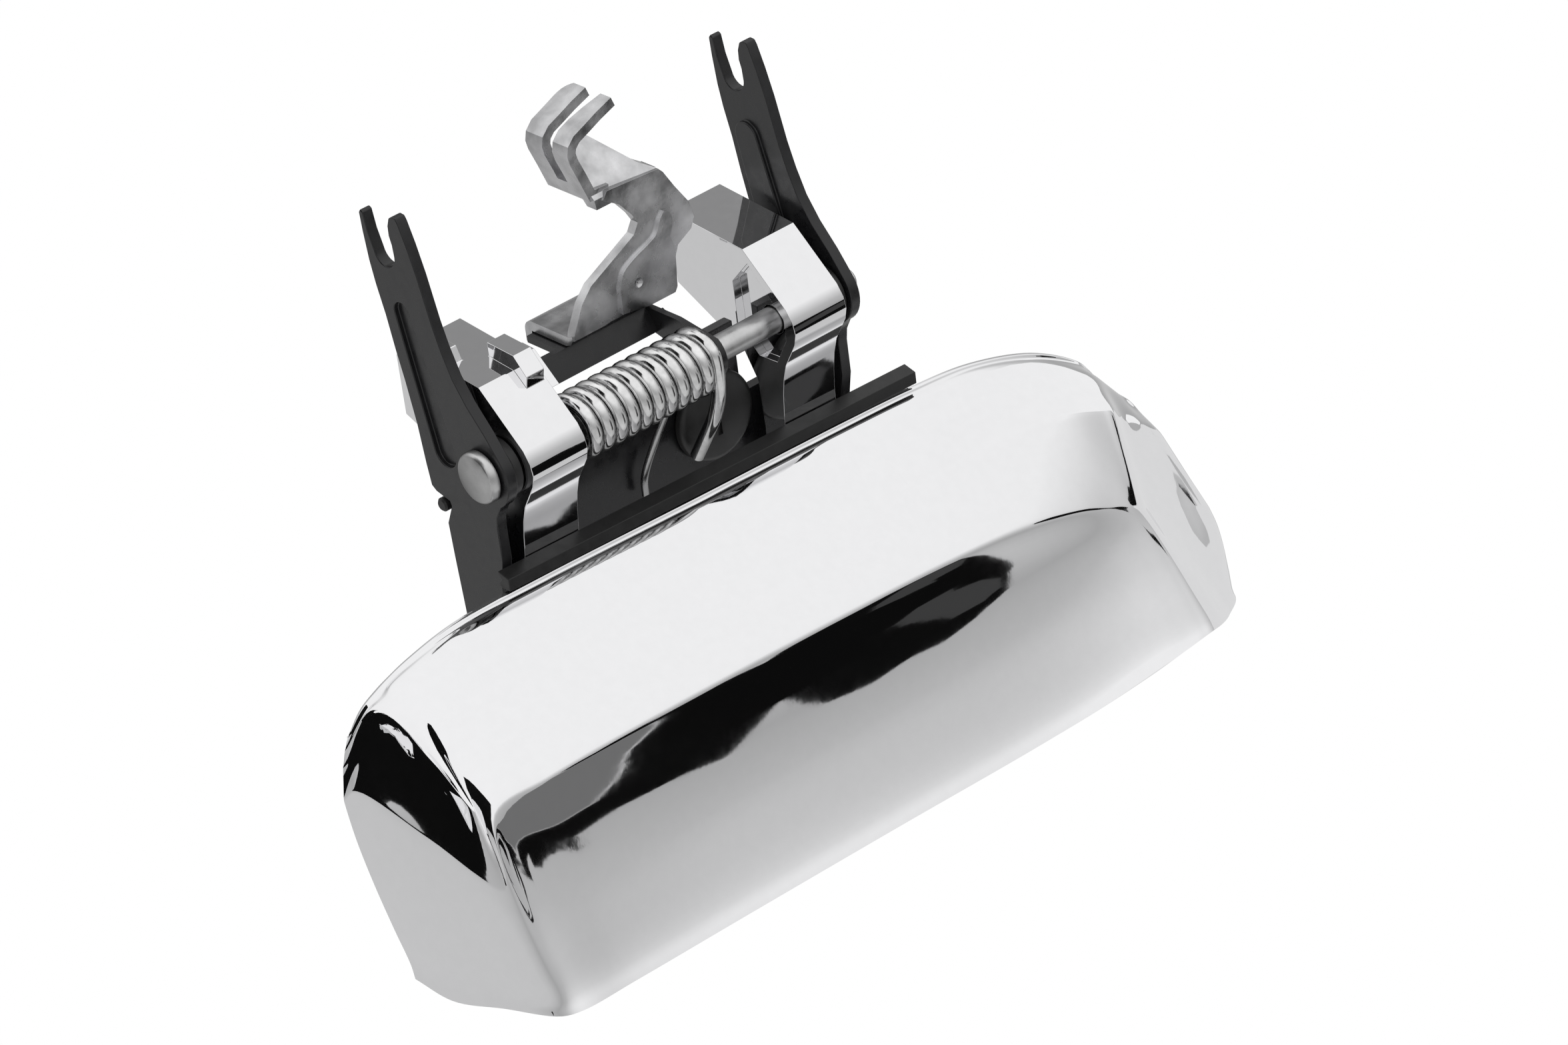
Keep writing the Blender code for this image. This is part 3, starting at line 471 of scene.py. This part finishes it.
# %% Hook of the lever
def strip(line, thickness):
    """Outline of a bent strip whose outer side follows the line."""
    pts = [Vector(p) for p in line]
    inner = []
    for i, p in enumerate(pts):
        before = (p - pts[max(i - 1, 0)]) if i else pts[1] - p
        after = (pts[min(i + 1, len(pts) - 1)] - p) if i < len(pts) - 1 else before
        t = (before.normalized() + after.normalized()).normalized()
        stretch = 1 / max(0.5, math.cos(before.angle(after) / 2))
        inner.append((p.x + t.y * thickness * stretch, p.y - t.x * thickness * stretch))
    return [tuple(p) for p in pts] + list(reversed(inner))


hook_line = [(5.4, 34.6), (0.3, 34.9), (-1.6, 40.2), (-3.3, 44.6), (-3.7, 46.6), (-3.2, 48.6),
             (-1.4, 50.4), (2.0, 51.8), (5.0, 53.1), (9.2, 54.6)]
front, rear_face = lever_y + 1.2, lever_y + 14.2
hook = plate("hook", strip(hook_line, lever_t), front, rear_face, "y")
slot = [(-14.0, front + 4.7), (1.5, front + 4.7), (14.0, front + 2.2), (14.0, front + 7.8),
        (-14.0, front + 7.8)]
combine(hook, plate("slot", slot, 38.5, 64.0, "z"), "DIFFERENCE")
corner_x, corner_r = 6.0, 4.0       # where the rear prong's rounded corner starts, and its radius
corner = [(corner_x, rear_face + 1), (corner_x, rear_face)]
for degrees in (15, 30, 45, 60, 75):
    a = math.radians(degrees)
    corner.append((corner_x + corner_r * math.sin(a), rear_face - corner_r * (1 - math.cos(a))))
corner += [(16.0, rear_face - corner_r), (16.0, rear_face + 1)]
combine(hook, plate("corner", corner, 44.0, 64.0, "z"), "DIFFERENCE")
combine(lever, hook)
dimple_r, dimple_at = 1.3, (8.2, 13.6, 13.7)
bm = bmesh.new()
bmesh.ops.create_uvsphere(bm, u_segments=20, v_segments=12, radius=dimple_r * MM)
bmesh.ops.translate(bm, verts=bm.verts[:], vec=[c * MM for c in dimple_at])
combine(lever, as_object("dimple", bm), "DIFFERENCE")
round_edges(lever, 0.45)
print(lever.name, len(lever.data.polygons), "faces")

# %% [markdown]
# A black bracket carries the lever: two ears on the pin, a sloping plate behind the coil and a
# tray under the flange. It is thin sheet, so its pieces are extruded thin and only just rounded.

# %% Lever bracket
tray_top = flange_under - clear
plate_y = lever_y + lever_t + clear
tray_back = flange_back - lever_t - clear
left_ear = -lug_in + clear
right_ear_end = ear_right + ear_t
ear_outline = arc(0, 0, 5.2, 125, 280, 12)
ear_outline += [(10.0, -1.0), (plate_y - 1.0, 0.6), (plate_y + 1.4, 4.4), (plate_y, tray_top), (8.0, 5.8)]
slope_outline = [(plate_y - 3.1, 1.0), (plate_y, tray_top), (plate_y + 1.4, tray_top), (plate_y + 1.4, 4.0),
                 (plate_y - 1.2, 0.6)]
tray_outline = [(plate_y, tray_top), (tray_back, tray_top), (tray_back, tray_top - 1.5),
                (plate_y + 1.0, tray_top - 1.5)]
carrier = plate("lever_bracket_bent", ear_outline, ear_right, right_ear_end)
combine(carrier, plate("ear", ear_outline, left_ear, left_ear + ear_t))
combine(carrier, plate("slope", slope_outline, left_ear, right_ear_end))
combine(carrier, plate("tray", tray_outline, flange_left - 1.7, right_ear_end))
drill(carrier, -34, 20)
round_edges(carrier, 0.25, 2)
print(carrier.name, len(carrier.data.polygons), "faces")

# %% [markdown]
# The main spring is a close coil of bright wire round the pin, with a hooked tail at its left end
# and a leg that rests on the web. Its path is worked out as a true helix that carries on smoothly
# into both, and a curve with a round bevel makes the wire.

# %% Main spring
def wire(name, path, radius, sides=5):
    """A round wire of the given radius in mm along a path in mm."""
    curve = bpy.data.curves.new(name, "CURVE")
    curve.dimensions = "3D"
    line = curve.splines.new("POLY")
    line.points.add(len(path) - 1)
    for point, place in zip(line.points, path):
        point.co = [c * MM for c in place] + [1.0]
    curve.bevel_depth = radius * MM
    curve.bevel_resolution = sides
    curve.use_fill_caps = True
    temporary = bpy.data.objects.new(name, curve)
    bpy.context.scene.collection.objects.link(temporary)
    graph = bpy.context.evaluated_depsgraph_get()
    mesh = bpy.data.meshes.new_from_object(temporary.evaluated_get(graph))
    bpy.data.objects.remove(temporary)
    bm = bmesh.new()
    bm.from_mesh(mesh)
    return as_object(name, bm)


wire_r, coil_r, turns, per_turn = 1.55, 5.8, 10, 40
first, last = -26.0 + wire_r, 11.1 - wire_r         # centre of the wire at both ends of the coil
total = turns * per_turn + 10
helix = []
for k in range(total + 1):
    a = math.radians(60) + 2 * math.pi * k / per_turn
    helix.append((first + (last - first) * k / total, coil_r * math.cos(a), coil_r * math.sin(a)))
tail = [(first + 9.0, 9.6, -10.0), (first + 3.6, 9.4, -5.4), (first + 0.8, 8.0, 0.2)]
leg = [(last + 0.2, -coil_r * 0.86, -coil_r * 0.9), (last - 0.2, -coil_r * 0.55, -11.5),
       (last - 0.4, 0.6, -18.0), (last - 0.4, 4.2, -23.6)]
end_steps = 8
smooth_tail = [tuple(p) for p in spline(tail + helix[:2], end_steps)][:len(tail) * end_steps + 1]
smooth_leg = [tuple(p) for p in spline(helix[-2:] + leg, end_steps)][end_steps + 1:]
spring = wire("main_spring_wire", smooth_tail + helix + smooth_leg, wire_r, 6)
print(spring.name, turns, "turns,", len(spring.data.polygons), "faces")

# %% [markdown]
# A thinner wire runs from behind the lever down to the web. It has no corners, so a few points
# and the same smooth curve draw it.

# %% Return wire
thin_r = 0.8
thin_path = [(14.6, 16.9, 3.6), (14.9, 13.6, 1.2), (14.6, 10.8, -2.2), (12.6, 8.6, -5.0), (8.4, 7.4, -8.8),
             (4.4, 6.9, -12.8), (-3.2, 6.6, -23.6), (-3.6, 6.7, -28.0)]
return_wire = wire("return_wire", [tuple(p) for p in spline(thin_path, 10)], thin_r)
print(return_wire.name, len(return_wire.data.polygons), "faces")

# %% [markdown]
# A soft strip with a groove along it is clipped under the back lip, so that the grip closes on
# the door without a rattle. Its profile is drawn once and extruded, then tilted to follow the lip.

# %% Lip strip
strip_left, strip_right = -49.5, 61.5
strip_low_left, strip_low_right = -24.0, -27.6      # height of the strip's foot at both ends
lip_profile = [(-5.4, 0.0), (-2.5, 0.0), (-2.2, 0.3), (-2.2, 1.0), (-3.0, 1.9), (-2.2, 2.8), (-2.2, 3.6),
               (-5.4, 2.7)]
lip = plate("lip_strip_moulded", lip_profile, strip_left, strip_right)
slope = (strip_low_right - strip_low_left) / (strip_right - strip_left)
for vert in lip.data.vertices:
    vert.co.z += strip_low_left * MM + slope * (vert.co.x - strip_left * MM)
round_edges(lip, 0.15, 2)
print(lip.name, "falls", round(-slope * 100, 1), "mm in 100 mm")

# %% [markdown]
# Each finish is a short node tree: noise in the piece's own coordinates shifts the tone, the
# roughness and a fine bump. Numbers that are the same all over are set on the shader's own
# sockets. Wires, pin and zinc get a painted dark reflection at their rims: their base colour is
# darkened towards black where the surface turns away from the view, as if the dark side of a room
# were mirrored there.

# %% Finishes
COLOUR_A, COLOUR_B, COLOUR_OUT = 6, 7, 2        # colour sockets of a Mix node
# The near black that finish paints on the rims as a dark reflection.
PAINTED_RIM_REFLECTION = (0.02, 0.02, 0.02, 1.0)


def finish(name, tone, metallic, roughness, noise=400.0, spread=0.12, rough_spread=0.08, bump=0.15,
           bump_scale=900.0, bump_depth=0.00004, edge=0.0):
    """A finish with mottled tone, uneven roughness, fine bump and a painted dark reflection: rims darkened by
    edge.
    """
    mat = bpy.data.materials.new(name)
    mat.use_nodes = True
    tree = mat.node_tree
    link = tree.links.new
    bsdf = tree.nodes["Principled BSDF"]
    bsdf.inputs["Metallic"].default_value = metallic
    coords = tree.nodes.new("ShaderNodeTexCoord")
    cloud = tree.nodes.new("ShaderNodeTexNoise")
    cloud.inputs["Scale"].default_value = noise
    cloud.inputs["Detail"].default_value = 6.0
    link(coords.outputs["Object"], cloud.inputs["Vector"])
    ramp = tree.nodes.new("ShaderNodeValToRGB")
    low, high = ramp.color_ramp.elements
    low.position, high.position = 0.30, 0.72
    low.color = tuple(max(0.0, c * (1 - spread)) for c in tone) + (1.0,)
    high.color = tuple(min(1.0, c * (1 + spread)) for c in tone) + (1.0,)
    link(cloud.outputs["Fac"], ramp.inputs["Fac"])
    # Painted reflection: Layer Weight mixes the base colour towards the black rim tone where the surface turns
    # away from the view, by up to edge.
    facing = tree.nodes.new("ShaderNodeLayerWeight")
    facing.inputs["Blend"].default_value = 0.5
    painted_rim_amount = tree.nodes.new("ShaderNodeMapRange")
    painted_rim_amount.inputs["From Min"].default_value = 0.25
    painted_rim_amount.inputs["From Max"].default_value = 0.75
    painted_rim_amount.inputs["To Max"].default_value = edge
    link(facing.outputs["Facing"], painted_rim_amount.inputs["Value"])
    painted_rim_mix = tree.nodes.new("ShaderNodeMix")
    painted_rim_mix.data_type = "RGBA"
    painted_rim_mix.inputs[COLOUR_B].default_value = PAINTED_RIM_REFLECTION
    link(painted_rim_amount.outputs["Result"], painted_rim_mix.inputs[0])
    link(ramp.outputs["Color"], painted_rim_mix.inputs[COLOUR_A])
    link(painted_rim_mix.outputs[COLOUR_OUT], bsdf.inputs["Base Color"])
    wear = tree.nodes.new("ShaderNodeMapRange")
    wear.inputs["From Min"].default_value = 0.3
    wear.inputs["From Max"].default_value = 0.7
    wear.inputs["To Min"].default_value = max(0.02, roughness - rough_spread)
    wear.inputs["To Max"].default_value = roughness + rough_spread
    link(cloud.outputs["Fac"], wear.inputs["Value"])
    link(wear.outputs["Result"], bsdf.inputs["Roughness"])
    grain = tree.nodes.new("ShaderNodeTexNoise")
    grain.inputs["Scale"].default_value = bump_scale
    grain.inputs["Detail"].default_value = 3.0
    link(coords.outputs["Object"], grain.inputs["Vector"])
    relief = tree.nodes.new("ShaderNodeBump")
    relief.inputs["Strength"].default_value = bump
    relief.inputs["Distance"].default_value = bump_depth
    link(grain.outputs["Fac"], relief.inputs["Height"])
    link(relief.outputs["Normal"], bsdf.inputs["Normal"])
    return mat


chrome = finish("bright_chrome", (0.86, 0.86, 0.87), 1.0, 0.035, spread=0.01, rough_spread=0.01, bump=0.02)
black_paint = finish("semi_gloss_black_paint", (0.012, 0.012, 0.013), 0.0, 0.30, spread=0.2)
# For zinc, pin and wires, edge sets how strongly a dark reflection is painted on the rims.
zinc = finish("zinc_plated_steel", (0.64, 0.64, 0.65), 1.0, 0.25, noise=150.0, spread=0.34, bump=0.3, edge=0.35)
pin_zinc = finish("dull_zinc_pin", (0.66, 0.66, 0.66), 1.0, 0.34, noise=300.0, spread=0.18, edge=0.7)
bright_wire = finish("bright_spring_wire", (0.80, 0.80, 0.80), 1.0, 0.13, noise=500.0, spread=0.15, edge=1.0)
thin_wire_mat = finish("thin_spring_wire", (0.45, 0.45, 0.45), 1.0, 0.25, edge=0.9)
rubber = finish("black_rubber", (0.010, 0.010, 0.010), 0.0, 0.45)
disc_mat = finish("bumper_rubber", (0.024, 0.024, 0.024), 0.0, 0.42)
nylon = finish("black_nylon", (0.015, 0.015, 0.015), 0.0, 0.40)
print("finishes:", len(bpy.data.materials))

# %% [markdown]
# Each piece now gets its finish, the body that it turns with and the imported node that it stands
# for. The coil stays with the frame, and the grip's skin and lugs are one chrome plated casting.
# Pieces whose edges were not bevelled keep them sharp above the angle given.

# %% Dress the pieces
def dress(obj, mat, body, node, sharp=None):
    """Give a piece its finish, its body and the node that it replaces."""
    if sharp is not None:
        obj.data.shade_smooth()
        obj.data.set_sharp_from_angle(angle=math.radians(sharp))
    obj.data.materials.clear()
    obj.data.materials.append(mat)
    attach(obj, body)
    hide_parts(node)
    print(obj.name, len(obj.data.polygons), "faces")


dress(skin, chrome, "handle", "handle_grip", sharp=50)
for lug in lugs:
    dress(lug, chrome, "handle", "handle_grip")
dress(bracket, black_paint, "frame", "frame_bracket")
dress(pin, pin_zinc, "frame", "pivot_pin", sharp=35)
dress(clip, pin_zinc, "frame", "retaining_ring", sharp=35)
dress(washer_left, nylon, "frame", "pivot_washer_left", sharp=35)
dress(washer_right, nylon, "frame", "pivot_washer_right", sharp=35)
dress(buffer, rubber, "frame", "arm_buffer", sharp=35)
dress(bumper, disc_mat, "frame", "bumper_disc", sharp=35)
dress(lever, zinc, "lever", "cable_lever")
dress(carrier, black_paint, "lever", "lever_bracket")
dress(spring, bright_wire, "frame", "main_spring", sharp=60)
dress(return_wire, thin_wire_mat, "frame", "lever_wire", sharp=60)
dress(lip, rubber, "handle", "lip_strip")

# %% [markdown]
# Chrome shows what stands round it. The room is white overhead, darkest at the horizon and a soft
# grey below, as in a light tent, and the camera sees plain white behind the handle.

# %% Room
world = bpy.data.worlds.new("studio_room")
bpy.context.scene.world = world
world.use_nodes = True
tree = world.node_tree
link = tree.links.new
tree.nodes.clear()
out = tree.nodes.new("ShaderNodeOutputWorld")
coords = tree.nodes.new("ShaderNodeTexCoord")
split = tree.nodes.new("ShaderNodeSeparateXYZ")
link(coords.outputs["Generated"], split.inputs["Vector"])
height = tree.nodes.new("ShaderNodeMapRange")
height.inputs["From Min"].default_value = -1.0
height.inputs["From Max"].default_value = 1.0
link(split.outputs["Z"], height.inputs["Value"])
ramp = tree.nodes.new("ShaderNodeValToRGB")
# Each stop is a height, from 0 straight below to 1 overhead, and a grey.
stops = [(0.0, 0.66), (0.32, 0.60), (0.50, 0.42), (0.60, 0.52), (0.68, 0.70), (0.78, 0.96), (1.0, 1.0)]
elements = ramp.color_ramp.elements
while len(elements) < len(stops):
    elements.new(0.5)
for element, (at, grey) in zip(elements, stops):
    element.position = at
    element.color = (grey, grey, grey, 1.0)
link(height.outputs["Result"], ramp.inputs["Fac"])
room = tree.nodes.new("ShaderNodeBackground")
link(ramp.outputs["Color"], room.inputs["Color"])
white = tree.nodes.new("ShaderNodeBackground")
white.inputs["Color"].default_value = (1.0, 1.0, 1.0, 1.0)
path = tree.nodes.new("ShaderNodeLightPath")
mix = tree.nodes.new("ShaderNodeMixShader")
link(path.outputs["Is Camera Ray"], mix.inputs["Fac"])
link(room.outputs["Background"], mix.inputs[1])
link(white.outputs["Background"], mix.inputs[2])
link(mix.outputs["Shader"], out.inputs["Surface"])
print("room with a ramp of", len(stops), "greys")

# %% [markdown]
# A pale floor lies well below the handle. It only sends soft light up: neither the camera nor the
# chrome sees it, because the handle was photographed in the air before plain white.

# %% Floor
floor_z, floor_half = -0.32, 2.0
bm = bmesh.new()
bmesh.ops.create_grid(bm, x_segments=1, y_segments=1, size=floor_half)
bmesh.ops.translate(bm, verts=bm.verts[:], vec=(0, 0, floor_z))
floor = as_object("pale_floor", bm)
pale = bpy.data.materials.new("pale_floor")
pale.use_nodes = True
pale_bsdf = pale.node_tree.nodes["Principled BSDF"]
pale_bsdf.inputs["Base Color"].default_value = (0.8, 0.8, 0.8, 1.0)
pale_bsdf.inputs["Roughness"].default_value = 0.9
floor.data.materials.append(pale)
floor.visible_camera = floor.visible_glossy = False
print("floor", 2 * floor_half, "m wide at", floor_z, "m")

# %% [markdown]
# A product photographer sets cards round chrome, to draw its edges. These cards show only in
# mirror reflections: black ones in front for the band under the ridge, on the left for the facet
# and on the right for the crisp lines of the right end. Grey ones give the smear beside the band
# and the tops of the lugs, and two pale ones light the right end wall. Their outlines are uneven,
# as the room that the real plate mirrors was.

# %% Outlines of the cards
# In front of the handle, as (x, z)
band = [(212, 42), (236, 44), (250, 12), (262, 30), (284, 28), (290, 4), (283, -18), (300, -44), (314, -50),
        (325, -34), (340, -96), (350, -140), (358, -70), (370, -34), (392, -20), (412, -28), (432, -18),
        (455, -30), (480, -46), (500, -64), (503, -110), (508, -170), (520, -230), (532, -300), (545, -420),
        (312, -420), (305, -260), (296, -180), (286, -100), (262, -66), (240, -36), (222, -10)]
smear = [(150, -40), (205, 30), (222, -10), (240, -36), (262, -66), (286, -100), (296, -180), (305, -260),
         (312, -420), (200, -420), (150, -140)]
patch = [(438, -75), (470, -72), (490, -92), (495, -160), (486, -235), (466, -262), (470, -288), (446, -292),
         (424, -260), (418, -205), (424, -140)]
# Beside the handle, as (y, z)
facet = [(-300, 1100), (-120, 320), (-24, 100), (-14, 50), (0, 0), (14, -50), (30, -100), (36, -150),
         (450, -150), (450, 1100)]
crease = [(-208, 66), (-203, 98), (-186, 82), (-150, 85), (-120, 100), (-110, 40), (-118, 14), (-146, 36),
          (-181, 52)]
ridge = [(-92, -27), (-110, -30), (-121, -20), (-136, -14), (-140, 4), (-126, 16), (-104, 14), (-90, -10)]
wall = [(-240, 60), (-207, 60), (-181, 46), (-146, 30), (-110, -5), (-60, -30), (20, -40), (120, -110),
        (200, -150), (200, -330), (-60, -260), (-170, -100), (-240, -20)]
rear_light = [(-100, 600), (-130, 450), (-60, 330), (0, 180), (20, 60), (-20, -25), (60, -45), (200, -60),
              (260, 100), (120, 300), (0, 600)]
print("corners of the band:", len(band))

# %% [markdown]
# A card is one flat face that glows with its own grey. It casts no shadow and lights nothing
# diffuse, so only the mirrors of the handle pick it up.

# %% Set up the cards
BLACK = 0.004


def card(name, corners, grey):
    """A flat card through the given corners in mm, seen only in reflections."""
    mat = bpy.data.materials.new(name)
    mat.use_nodes = True
    nodes_here = mat.node_tree.nodes
    nodes_here.clear()
    glow = nodes_here.new("ShaderNodeEmission")
    glow.inputs["Color"].default_value = (grey, grey, grey, 1.0)
    end = nodes_here.new("ShaderNodeOutputMaterial")
    mat.node_tree.links.new(glow.outputs["Emission"], end.inputs["Surface"])
    bm = bmesh.new()
    bm.faces.new([bm.verts.new([c * MM for c in corner]) for corner in corners])
    mesh = bpy.data.meshes.new(name)
    bm.to_mesh(mesh)
    bm.free()
    mesh.materials.append(mat)
    obj = bpy.data.objects.new(name, mesh)
    bpy.context.scene.collection.objects.link(obj)
    obj.visible_camera = obj.visible_diffuse = obj.visible_shadow = obj.visible_transmission = False
    return obj


def in_front(y, outline):
    return [(x, y, z) for x, z in outline]


def beside(x, outline):
    return [(x, y, z) for y, z in outline]


cards = [
    card("front_card", in_front(-600, band), BLACK),
    card("smear_card", in_front(-605, smear), 0.17),
    card("patch_card", in_front(-595, patch), 0.05),
    card("facet_card", beside(-600, facet), BLACK),
    card("crease_card", beside(600, crease), BLACK),
    card("ridge_card", beside(200, ridge), BLACK),
    card("lug_card", [(500, 500, 200), (300, 640, 200), (300, 640, 640), (500, 500, 640)], 0.28),
    card("wall_card", beside(602, wall), 0.78),
    card("rear_card", beside(602, rear_light), 0.97),
]
print("cards round the handle:", len(cards))

# %% [markdown]
# The camera stands front left and above, at the angle from which the handle was photographed. It
# is a long lens from over a metre away, rolled a little, and moved sideways to frame the handle.

# %% Camera
azimuth, elevation, roll = math.radians(-38.73), math.radians(30.08), math.radians(-7.5)
distance, aside, above = 1.1985, 0.02415, -0.02896      # in metres, the last two across the view
toward = Vector((math.sin(azimuth) * math.cos(elevation), -math.cos(azimuth) * math.cos(elevation),
                 math.sin(elevation)))
level_right = Vector((0, 0, 1)).cross(toward).normalized()
level_up = toward.cross(level_right)
right = math.cos(roll) * level_right + math.sin(roll) * level_up
up = -math.sin(roll) * level_right + math.cos(roll) * level_up
lens = bpy.data.cameras.new("photo_lens")
lens.lens, lens.sensor_width = 137.05, 36.0
lens.clip_start, lens.clip_end = 0.05, 20.0
camera = bpy.data.objects.new("camera", lens)
bpy.context.scene.collection.objects.link(camera)
turn = Matrix((right, up, toward)).transposed().to_4x4()
camera.matrix_world = Matrix.Translation(distance * toward + aside * right + above * up) @ turn
bpy.context.scene.camera = camera
bpy.context.scene.view_settings.view_transform = "Standard"
print("camera", distance, "m away with a lens of", lens.lens, "mm")
